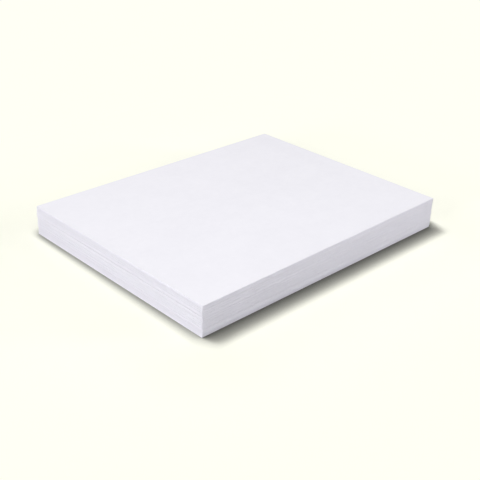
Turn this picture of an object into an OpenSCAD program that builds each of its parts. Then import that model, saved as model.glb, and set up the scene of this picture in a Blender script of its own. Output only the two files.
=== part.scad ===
// Ream of plain white office paper, unwrapped and squared up by hand, lying on a table.
// Every sheet is a solid of its own. X runs along the long side, Y along the short side, and Z up
// from the table. Sheet 0 lies on the table, and each next sheet lies on the one before.

/* [Sheet] */
// Long side of a sheet
sheet_length = 279.4; // [200:0.1:450]
// Short side of a sheet
sheet_width = 215.9; // [140:0.1:320]
// Thickness of one sheet
caliper = 0.1; // [0.05:0.005:0.3]

/* [Pile] */
// Lifts, the handfuls that were knocked square together, between the bottom sheet and the top one
lift_count = 31; // [4:1:50]
// Sheets in one lift
sheets_per_lift = 8; // [2:1:16]
// Air between two sheets at the tight end of the pile
air_gap = 0.007; // [0.005:0.001:0.05]
// How much higher the pile is at its loose end than at its tight end
loose_end_rise = 2; // [0:0.1:6]

/* [Squaring] */
// Furthest that a lift stands out of the block
lift_jog = 0.3; // [0:0.05:1.5]
// Furthest that a sheet stands out of its lift
sheet_jog = 0.12; // [0:0.02:0.6]
// Furthest that a lift is turned out of square, in degrees
lift_turn = 0.02; // [0:0.01:0.3]
// Furthest that a sheet is turned out of its lift, in degrees
sheet_turn = 0.01; // [0:0.005:0.1]
// How far the top sheet reaches past the block at the loose end
top_overhang = 0.2; // [0:0.1:3]
// Share of the pile, from its top down, that leans towards the overhang
leaning_share = 0.1; // [0.05:0.05:0.5]
// Number that picks one way for the lifts and sheets to lie
shuffle = 11; // [1:1:99]

/* [Hidden] */
sheet_count = lift_count * sheets_per_lift + 2;
top_number = sheet_count - 1;
sheet_pitch = caliper + air_gap;
fan_per_sheet = atan(loose_end_rise / sheet_length) / top_number;
lean_start = top_number * (1 - leaning_share);
paper_white = [0.95, 0.945, 0.975];

// One row of spreads from -1 to 1 for each way that a lift or a sheet can be out of place
lift_spreads = [for (way = [0:2]) rands(-1, 1, lift_count, shuffle + way)];
sheet_spreads = [for (way = [3:5]) rands(-1, 1, sheet_count, shuffle + way)];

function lift_name(number) = str("lift_", number < 10 ? "0" : "", number);
function first_in_lift(number) = 1 + (number - 1) * sheets_per_lift;
function lift_of(sheet) = floor((sheet - 1) / sheets_per_lift);
function is_in_lift(sheet) = sheet > 0 && sheet < top_number;
function lift_spread(sheet, way) = is_in_lift(sheet) ? lift_spreads[way][lift_of(sheet)] : 0;

// Places of a sheet in its own plane: along X, along Y, and its turn in degrees
function lean(sheet) = top_overhang * pow(max(0, sheet - lean_start) / (top_number - lean_start), 2);
function place_x(sheet) = lift_jog * lift_spread(sheet, 0) + sheet_jog * sheet_spreads[0][sheet] + lean(sheet);
function place_y(sheet) = lift_jog * lift_spread(sheet, 1) + sheet_jog * sheet_spreads[1][sheet];
function turn(sheet) = lift_turn * lift_spread(sheet, 2) + sheet_turn * sheet_spreads[2][sheet];

// One sheet, fanned up about the tight end of the pile and then knocked into its place
module sheet(number) {
    color(paper_white)
        translate([-sheet_length / 2, 0, number * sheet_pitch])
        rotate([0, -number * fan_per_sheet, 0])
        translate([sheet_length / 2 + place_x(number), place_y(number), caliper / 2])
        rotate([0, 0, turn(number)])
        cube([sheet_length, sheet_width, caliper], center = true);
}

module bottom_sheet() {
    sheet(0);
}

module lift(number) {
    first = first_in_lift(number);
    for (at = [first:first + sheets_per_lift - 1]) sheet(at);
}

module top_sheet() {
    sheet(top_number);
}

bottom_sheet();
for (number = [1:lift_count])
    lift(number);
top_sheet();
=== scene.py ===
"""Looks of a loose ream of plain white office paper.

Every sheet of the frame is made again as a thin plate with blunted corners and the slight wave of real
paper, and the sheets of one lift are joined into one piece. Lengths are in metres unless a name says mm.
"""
import math

import bmesh
import bpy
import numpy as np
from mathutils import Matrix, Vector


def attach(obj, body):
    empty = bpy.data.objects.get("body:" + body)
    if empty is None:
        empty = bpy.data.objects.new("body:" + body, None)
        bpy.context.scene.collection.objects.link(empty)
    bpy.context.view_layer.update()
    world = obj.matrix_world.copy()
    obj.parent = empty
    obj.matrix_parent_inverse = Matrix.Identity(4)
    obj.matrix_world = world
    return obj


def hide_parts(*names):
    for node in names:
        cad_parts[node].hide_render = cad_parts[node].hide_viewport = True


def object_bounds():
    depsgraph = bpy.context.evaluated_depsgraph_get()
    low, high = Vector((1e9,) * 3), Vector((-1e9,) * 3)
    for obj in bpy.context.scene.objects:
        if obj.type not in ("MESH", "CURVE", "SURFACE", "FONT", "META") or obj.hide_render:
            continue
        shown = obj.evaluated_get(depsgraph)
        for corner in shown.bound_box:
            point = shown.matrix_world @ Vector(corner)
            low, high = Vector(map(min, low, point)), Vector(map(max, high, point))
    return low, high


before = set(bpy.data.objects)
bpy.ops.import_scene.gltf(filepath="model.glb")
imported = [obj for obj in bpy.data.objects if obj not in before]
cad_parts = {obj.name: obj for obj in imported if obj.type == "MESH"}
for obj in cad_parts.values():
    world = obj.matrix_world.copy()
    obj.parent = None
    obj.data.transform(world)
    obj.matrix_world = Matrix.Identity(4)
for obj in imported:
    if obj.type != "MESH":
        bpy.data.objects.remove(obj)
cad_low, cad_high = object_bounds()

MM = 0.001

# The pile, as far as the frame doesn't say it
PILE_HEIGHT = cad_high.z - cad_low.z
SAME_CORNER = 0.001 * MM  # corners of loose triangles this close are one corner of a sheet
CORNERS_OF_A_SHEET = 8

# One sheet
BLUNT_CORNER = 0.5 * MM
BLUNT_STEPS = 2
CUTS_ALONG = 15
CUTS_ACROSS = 11
SMOOTH_BELOW = math.radians(30)

# Where a corner lies: along and across its own sheet in metres, and up the pile in sheets
SHEET_SPOT = "sheet_spot"

# The wave of the paper: (height, length along X, length along Y, place of its crest along X and along Y)
INNER_WAVES = [
    (0.16 * MM, 0.205, 0.310, 0.03, 0.02),
    (0.08 * MM, 0.091, 0.150, -0.05, 0.06),
]
TOP_WAVES = [
    (0.12 * MM, 0.260, 0.230, -0.04, 0.05),
]

# The camera that took the photograph
CAMERA_PLACE = Vector((-0.48212, -0.48829, 0.34369))
CAMERA_HEADING = math.radians(-44.754)
CAMERA_DROP = math.radians(27.272)
CAMERA_ROLL = math.radians(2.137)
PICTURE_SIDE = 480
FOCAL_LENGTH_PX = 852.4
SENSOR_WIDTH_MM = 36
CAMERA_SEES = (0.01, 30)  # the nearest and the furthest that it shows

# Light, in shares of what shows white as white on a surface that faces it
SKY_SHARE = 0.18
SOFT_BOXES = {  # (place, side, share)
    "key_box": (Vector((-0.9, 2.9, 5.9)), 2.2, 0.61),
    "left_box": (Vector((-1.4, -0.15, 0.2)), 0.36, 0.453),
    "right_box": (Vector((0.95, -1.0, 0.16)), 0.28, 0.421),
    "near_box": (Vector((-0.2, -0.3, 0.9)), 0.4, 0.218),
}

# Floor and background
FLOOR_SIDE = 12
FLOOR_DROP = 0.05 * MM
CREAM = (1.03, 1.03, 0.913, 1)
GREY_FLOOR = (0.86, 0.86, 0.87, 1)
RAYS_THAT_SHOW = ("Camera", "Glossy", "Transmission")
LIT_FLOOR = (0.05, 0.22)  # it shows light and shadow up to the first distance, and cream from the second

# Evenness of the floor, whose brightness is multiplied by a tone, which also holds a painted shade line at
# the left end's foot
FLOOR_TONE = 0.942  # at the pile's foot
FLOOR_SLOPE = (0.1845, 0.152)  # added for each metre along X and along Y, as the light falls off
FLOOR_GLOW = (0.072, 0.09)  # added by this far from the pile, whose sides throw light on the floor
LEFT_GLOW = (0.08, 0.04)  # taken off up to this far from the left end, which the left box makes bright
LEFT_LINE = (0.24, 5 * MM)  # painted shade: taken off as well up to this far from the left end, a thin darker line at the foot
LEFT_FOOT = (-0.12, -0.15)  # where both start along X, and where they are in full
LEFT_CORNERS = (-0.12, -0.05, 0.09, 0.12)  # where both start along Y, are in full, fade, and are gone

# Painted shadow: the floor's colour is made darker close to the pile's sides, where an ambient occlusion
# lookup finds the pile
CONTACT_REACH = 16 * MM
CONTACT_LESS = (0.032, 0.55)  # how much less the reach is for each metre along Y, and past the pile's ends
CONTACT_LEAN = (-0.29, 0.135, 0.948)  # the way that the floor looks for the pile's sides
CONTACT_DEPTH = 2.3
CONTACT_SAMPLES = 16

# Paper
PAPER_ROUGHNESS = 0.88
PAPER_SHINE = 0.2

# Flat of a sheet, with its noises in repeats per metre along X, Y and Z
SHEET_LIGHT = (0.893, 0.883, 0.934, 1)
SHEET_DARK = (0.852, 0.842, 0.896, 1)
SHEET_BUMP_MM = 0.012
PULP_CLOUDS = (190, 230, 190)
PULP_PATCHES = (48, 60, 48)
PULP_DRIFT = (11, 14, 11)
PULP_FIBRES = (1500, 4200, 2000)
PULP_DETAIL = 3.0

# Cut edges, with their noises in repeats per metre along X and Y, and in repeats per sheet upwards
CUT_LIGHT = (0.880, 0.868, 0.903, 1)
CUT_DARK = (0.790, 0.778, 0.829, 1)
CUT_BUMP_MM = 0.03
CUT_BANDS = (1.5, 1.5, 0.045)
CUT_HANDFULS = (5, 5, 0.16)
CUT_SHEETS = (14, 14, 0.77)
CUT_MARKS = (330, 330, 0.1)
CUT_FIBRES = (2400, 2400, 2.3)
TOP_EDGE_SHADE_SHEETS = (218, 242)  # painted shade: the cut edges are made darker from the first of these sheets to the second, near the pile's top
TOP_EDGE_SHADE_DARKER = 0.95  # how much of the way from light to dark the painted shade goes


class Number:
    """A number that varies over a surface. A sum or product with one adds a Math node."""

    def __init__(self, finish, socket):
        self.finish, self.socket = finish, socket

    def combine(self, operation, first, second):
        settings, values = {"operation": operation, "use_clamp": False}, {0: first, 1: second}
        return self.finish.number("ShaderNodeMath", settings, values)

    def __add__(self, other):
        return self.combine("ADD", self, other)

    def __sub__(self, other):
        return self.combine("SUBTRACT", self, other)

    def __rsub__(self, other):
        return self.combine("SUBTRACT", other, self)

    def __mul__(self, other):
        return self.combine("MULTIPLY", self, other)

    def __pow__(self, other):
        return self.combine("POWER", self, other)

    __radd__, __rmul__ = __add__, __mul__


class Finish:
    """A material or world and the nodes that make it."""

    def __init__(self, block):
        self.block = block
        block.use_nodes = True
        self.tree = block.node_tree
        self.tree.nodes.clear()

    def node(self, kind, settings=None, values=None):
        made = self.tree.nodes.new(kind)
        for name, value in (settings or {}).items():
            setattr(made, name, value)
        for name, value in (values or {}).items():
            self.fill(made.inputs[name], value)
        return made

    def fill(self, socket, value):
        if isinstance(value, Number):
            value = value.socket
        if isinstance(value, bpy.types.NodeSocket):
            self.tree.links.new(value, socket)
        else:
            socket.default_value = value

    def number(self, kind, settings=None, values=None, output=0):
        return Number(self, self.node(kind, settings, values).outputs[output])

    def mix(self, factor, first, second):
        settings = {"data_type": "RGBA", "clamp_factor": True}
        made = self.node("ShaderNodeMix", settings, {0: factor, 6: first, 7: second})
        return made.outputs[2]

    def shown(self):
        """1 where the camera, a mirror or glass looks at the surface, and 0 where light bounces off it."""
        rays = self.node("ShaderNodeLightPath").outputs
        camera, mirror, glass = (Number(self, rays[f"Is {kind} Ray"]) for kind in RAYS_THAT_SHOW)
        return camera + mirror + glass

    def ramp(self, value, start, end):
        """0 up to the start and 1 from the end, with a smooth rise between them."""
        values = {"Value": value, "From Min": start, "From Max": end}
        return self.number("ShaderNodeMapRange", {"interpolation_type": "SMOOTHSTEP"}, values)

    def noise(self, place, scale, detail=2.0):
        """Noise around 0.5 with these repeats along X, Y and Z."""
        stretched = self.node("ShaderNodeMapping", None, {"Vector": place, "Scale": scale})
        values = {"Vector": stretched.outputs[0], "Scale": 1.0, "Detail": detail}
        return self.number("ShaderNodeTexNoise", None, values)


# Paper and floor

def paper_shader(finish, colour, height, bump_mm):
    """Matt paper of that colour, whose surface rises by bump_mm where height is 1."""
    values = {"Strength": 1.0, "Distance": bump_mm * MM, "Height": height}
    bump = finish.node("ShaderNodeBump", None, values)
    values = {
        "Base Color": colour,
        "Roughness": PAPER_ROUGHNESS,
        "Specular IOR Level": PAPER_SHINE,
        "Normal": bump.outputs[0],
    }
    shader = finish.node("ShaderNodeBsdfPrincipled", None, values)
    finish.node("ShaderNodeOutputMaterial", None, {"Surface": shader.outputs[0]})


def sheet_face():
    """The flat of a sheet: faint clouds of pressed pulp, with short fibres lying along the sheet."""
    finish = Finish(bpy.data.materials.new("sheet_face"))
    place = finish.node("ShaderNodeTexCoord").outputs["Object"]
    clouds = finish.noise(place, PULP_CLOUDS, PULP_DETAIL)
    patches = finish.noise(place, PULP_PATCHES, PULP_DETAIL)
    drift = finish.noise(place, PULP_DRIFT)
    fibres = finish.noise(place, PULP_FIBRES)
    tone = clouds * 0.8 + patches * 0.8 + drift * 0.7 - 0.65
    colour = finish.mix(tone, SHEET_DARK, SHEET_LIGHT)
    paper_shader(finish, colour, fibres + clouds * 0.6, SHEET_BUMP_MM)
    return finish.block


def cut_edge():
    """The cut edges: bands of many sheets and of a few, a tone for each sheet, knife marks and fibres, and
    painted shade on the edges of the upper sheets.
    """
    finish = Finish(bpy.data.materials.new("cut_edge"))
    spot = finish.node("ShaderNodeAttribute", {"attribute_name": SHEET_SPOT}).outputs["Vector"]
    bands = finish.noise(spot, CUT_BANDS)
    handfuls = finish.noise(spot, CUT_HANDFULS)
    sheets = finish.noise(spot, CUT_SHEETS)
    marks = finish.noise(spot, CUT_MARKS)
    fibres = finish.noise(spot, CUT_FIBRES)
    sheet_number = finish.number("ShaderNodeSeparateXYZ", None, {0: spot}, "Z")
    tone = bands * 0.9 + handfuls * 0.6 + sheets * 0.9 + marks * 1.1 + fibres * 0.5 - 1.5
    # painted shade: the cut edges of the upper sheets are made darker
    tone = tone - finish.ramp(sheet_number, *TOP_EDGE_SHADE_SHEETS) * TOP_EDGE_SHADE_DARKER
    paper_shader(finish, finish.mix(tone, CUT_DARK, CUT_LIGHT), sheets + fibres, CUT_BUMP_MM)
    return finish.block


def past_the_pile(finish, place):
    """How far a place on the floor lies past the pile's ends, and how far from the pile."""
    pile_corner = (cad_high - cad_low) / 2
    steps = (("ABSOLUTE", {}), ("SUBTRACT", {1: pile_corner}), ("MAXIMUM", {1: (0, 0, 0)}))
    for operation, others in steps:
        step = finish.node("ShaderNodeVectorMath", {"operation": operation}, {0: place, **others})
        place = step.outputs[0]
    past_ends = finish.number("ShaderNodeSeparateXYZ", None, {0: place}, "X")
    return past_ends, finish.number("ShaderNodeVectorMath", {"operation": "LENGTH"}, {0: place}, "Value")


def even_tone_and_foot_shade(finish, along, across, distance):
    """What the floor's brightness is multiplied by, so that it looks the same all over, with a painted
    shade line at the foot of the left end.
    """
    tone = along * FLOOR_SLOPE[0] + across * FLOOR_SLOPE[1] + FLOOR_TONE
    tone = tone + finish.ramp(distance, 0, FLOOR_GLOW[1]) * FLOOR_GLOW[0]
    left_end = finish.ramp(along, *LEFT_FOOT) * finish.ramp(across, *LEFT_CORNERS[:2])
    left_end = left_end * (1 - finish.ramp(across, *LEFT_CORNERS[2:]))
    # LEFT_GLOW evens out the left box's light; LEFT_LINE paints shade, a thin darker line at the left end's
    # foot
    for amount, reach in (LEFT_GLOW, LEFT_LINE):
        tone = tone - left_end * (1 - finish.ramp(distance, 0, reach)) * amount
    return tone


def painted_contact_shadow(finish, across, past_ends):
    """Painted shadow: what the floor's colour is multiplied by close to the pile's sides, from an ambient
    occlusion lookup whose reach is shorter along Y and past the pile's ends.
    """
    reach = CONTACT_REACH - across * CONTACT_LESS[0] - past_ends * CONTACT_LESS[1]
    lean = finish.node("ShaderNodeCombineXYZ", None, dict(enumerate(CONTACT_LEAN)))
    settings, values = {"samples": CONTACT_SAMPLES}, {"Distance": reach, "Normal": lean.outputs[0]}
    return finish.number("ShaderNodeAmbientOcclusion", settings, values, "AO") ** CONTACT_DEPTH


def pale_floor():
    """A floor that is seen as cream, with the lamps' real shadow of the pile and a painted shadow close to
    its sides, and is plain grey to the light.
    """
    finish = Finish(bpy.data.materials.new("pale_floor"))
    place = finish.node("ShaderNodeTexCoord").outputs["Object"]
    along, across = (finish.number("ShaderNodeSeparateXYZ", None, {0: place}, axis) for axis in "XY")
    past_ends, distance = past_the_pile(finish, place)
    # painted shadow close to the pile, times the tone that makes the floor look even
    shade = painted_contact_shadow(finish, across, past_ends) * even_tone_and_foot_shade(finish, along, across, distance)
    seen = finish.node("ShaderNodeVectorMath", {"operation": "SCALE"}, {0: CREAM[:3], "Scale": shade})
    colour = finish.mix(finish.shown(), GREY_FLOOR, seen.outputs[0])
    lit = finish.node("ShaderNodeBsdfDiffuse", None, {"Color": colour})
    plain = finish.node("ShaderNodeEmission", None, {"Color": CREAM, "Strength": 1.0})
    far = finish.ramp(distance, *LIT_FLOOR) * finish.shown()
    both = finish.node("ShaderNodeMixShader", None, {0: far, 1: lit.outputs[0], 2: plain.outputs[0]})
    finish.node("ShaderNodeOutputMaterial", None, {"Surface": both.outputs[0]})
    return finish.block


# Shapes

def deselect():
    bpy.ops.object.select_all(action="DESELECT")


def cut_across(places, normal):
    """Cuts the mesh in edit mode by planes through these places."""
    for place in places:
        bpy.ops.mesh.select_all(action="SELECT")
        bpy.ops.mesh.bisect(plane_co=place, plane_no=normal)


def model_sheet(length, width, caliper, face, edge):
    """One flat sheet about the origin, with blunted corners, cut into a grid so that it can bend."""
    deselect()
    bpy.ops.mesh.primitive_cube_add(size=1, scale=(length, width, caliper))
    sheet = bpy.context.object
    bpy.ops.object.transform_apply(location=False, rotation=False, scale=True)
    bpy.ops.object.mode_set(mode="EDIT")
    bpy.ops.mesh.select_all(action="DESELECT")
    shape = bmesh.from_edit_mesh(sheet.data)
    for edge_line in shape.edges:
        start, end = (corner.co for corner in edge_line.verts)
        upright = abs(start.z - end.z) > caliper / 2
        edge_line.select_set(upright)
    bmesh.update_edit_mesh(sheet.data)
    bpy.ops.mesh.bevel(offset=BLUNT_CORNER, segments=BLUNT_STEPS, affect="EDGES")
    along = [length * (step / (CUTS_ALONG + 1) - 0.5) for step in range(1, CUTS_ALONG + 1)]
    across = [width * (step / (CUTS_ACROSS + 1) - 0.5) for step in range(1, CUTS_ACROSS + 1)]
    cut_across([(x, 0, 0) for x in along], (1, 0, 0))
    cut_across([(0, y, 0) for y in across], (0, 1, 0))
    bpy.ops.object.mode_set(mode="OBJECT")
    sheet.data.materials.append(face)
    sheet.data.materials.append(edge)
    for side in sheet.data.polygons:
        side.material_index = 0 if abs(side.normal.z) > 0.5 else 1
    return sheet


def corners_of(mesh):
    places = np.zeros(len(mesh.vertices) * 3)
    mesh.vertices.foreach_get("co", places)
    return places.reshape(-1, 3)


def sheets_of(node):
    """The place and size of each sheet in a CAD node, from the lowest up, worked out from its corners."""
    shape = bmesh.new()
    shape.from_mesh(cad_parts[node].data)
    bmesh.ops.remove_doubles(shape, verts=shape.verts, dist=SAME_CORNER)
    found, left = [], set(shape.verts)
    while left:
        corners, reached = set(), [left.pop()]
        while reached:
            corner = reached.pop()
            corners.add(corner)
            near = {edge_line.other_vert(corner) for edge_line in corner.link_edges} & left
            left -= near
            reached.extend(near)
        assert len(corners) == CORNERS_OF_A_SHEET, f"{node} has a piece with {len(corners)} corners"
        found.append(sheet_place(np.array([corner.co for corner in corners])))
    shape.free()
    return sorted(found, key=lambda sheet: sheet[0].translation.z)


def sheet_place(corners):
    """The matrix that carries a level sheet about the origin onto these corners, and the sheet's size."""
    middle = corners.mean(0)

    def across(axis):
        ranked = corners[corners[:, axis].argsort()]
        return Vector(ranked[CORNERS_OF_A_SHEET // 2:].mean(0) - ranked[:CORNERS_OF_A_SHEET // 2].mean(0))

    length, width = across(0), across(1)
    up = length.cross(width).normalized()
    turn = Matrix((length.normalized(), up.cross(length).normalized(), up)).transposed()
    apart = (corners - middle) @ np.array(up)
    place = Matrix.Translation(Vector(middle)) @ turn.to_4x4()
    return place, (length.length, width.length, float(apart.max() - apart.min()))


def wave(points):
    """How far the paper at these points lies above its level place."""
    up = (points[:, 2] / PILE_HEIGHT).clip(0, 1)
    total = np.zeros(len(points))
    for waves, share in ((INNER_WAVES, np.sin(math.pi * up)), (TOP_WAVES, up)):
        for height, along, across, crest_x, crest_y in waves:
            over_x = np.cos(2 * math.pi * (points[:, 0] - crest_x) / along)
            over_y = np.cos(2 * math.pi * (points[:, 1] - crest_y) / across)
            total += height * over_x * over_y * share
    return total


def lay_sheet(master, caliper, place, number):
    """A copy of the master sheet at that place, with the wave that the pile has there."""
    sheet = master.copy()
    sheet.data = master.data.copy()
    bpy.context.collection.objects.link(sheet)
    spots = corners_of(sheet.data) / (1, 1, caliper) + (0, 0, number)
    attribute = sheet.data.attributes.new(SHEET_SPOT, "FLOAT_VECTOR", "POINT")
    attribute.data.foreach_set("vector", spots.ravel())
    sheet.data.transform(place)
    points = corners_of(sheet.data)
    points[:, 2] += wave(points)
    sheet.data.vertices.foreach_set("co", points.ravel())
    return sheet


def dress(node, master, caliper, first_number):
    """Makes the sheets of a CAD node, counted on from a number, as one piece that stands for it."""
    places = [place for place, _ in sheets_of(node)]
    sheets = [lay_sheet(master, caliper, place, first_number + at) for at, place in enumerate(places)]
    deselect()
    for sheet in sheets:
        sheet.select_set(True)
    bpy.context.view_layer.objects.active = sheets[0]
    if len(sheets) > 1:
        bpy.ops.object.join()
    piece = bpy.context.view_layer.objects.active
    piece.name = f"paper_{node}"
    piece.data.name = piece.name
    bpy.ops.object.shade_smooth_by_angle(angle=SMOOTH_BELOW)
    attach(piece, "root")
    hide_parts(node)
    return len(sheets)


# Camera, lights and floor

def place_camera():
    camera = bpy.data.objects.new("camera", bpy.data.cameras.new("camera"))
    bpy.context.collection.objects.link(camera)
    camera.data.sensor_width = SENSOR_WIDTH_MM
    camera.data.lens = FOCAL_LENGTH_PX / PICTURE_SIDE * SENSOR_WIDTH_MM
    camera.data.clip_start, camera.data.clip_end = CAMERA_SEES
    heading = Matrix.Rotation(CAMERA_HEADING, 3, "Z")
    tilt = Matrix.Rotation(math.pi / 2 - CAMERA_DROP, 3, "X")
    roll = Matrix.Rotation(CAMERA_ROLL, 3, "Z")
    camera.location = CAMERA_PLACE
    camera.rotation_euler = (heading @ tilt @ roll).to_euler()
    bpy.context.scene.camera = camera


def hang_soft_box(name, place, side, share):
    """A square soft box aimed at the pile, which lights a surface that faces it by that share of white."""
    lamp = bpy.data.objects.new(name, bpy.data.lights.new(name, "AREA"))
    bpy.context.collection.objects.link(lamp)
    lamp.data.size = side
    lamp.data.energy = (math.pi * place.length) ** 2 * share
    lamp.location = place
    lamp.rotation_euler = place.to_track_quat("Z", "Y").to_euler()
    lamp.visible_camera = False


def light_scene():
    bpy.context.scene.view_settings.view_transform = "Standard"
    for name, (place, side, share) in SOFT_BOXES.items():
        hang_soft_box(name, place, side, share)
    finish = Finish(bpy.data.worlds.new("studio"))
    bpy.context.scene.world = finish.block
    sky = finish.node("ShaderNodeBackground", None, {"Color": (1, 1, 1, 1), "Strength": SKY_SHARE})
    seen = finish.node("ShaderNodeBackground", None, {"Color": CREAM, "Strength": 1.0})
    values = {0: finish.shown(), 1: sky.outputs[0], 2: seen.outputs[0]}
    both = finish.node("ShaderNodeMixShader", None, values)
    finish.node("ShaderNodeOutputWorld", None, {"Surface": both.outputs[0]})


def lay_floor():
    deselect()
    bpy.ops.mesh.primitive_plane_add(size=FLOOR_SIDE, location=(0, 0, -FLOOR_DROP))
    floor = bpy.context.object
    floor.name = "floor"
    floor.data.materials.append(pale_floor())


place_camera()
light_scene()
lay_floor()
_, sheet_size = sheets_of("bottom_sheet")[0]
master_sheet = model_sheet(*sheet_size, sheet_face(), cut_edge())
laid = 0
for node_name in sorted(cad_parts):
    laid += dress(node_name, master_sheet, sheet_size[2], laid)
bpy.data.objects.remove(master_sheet)
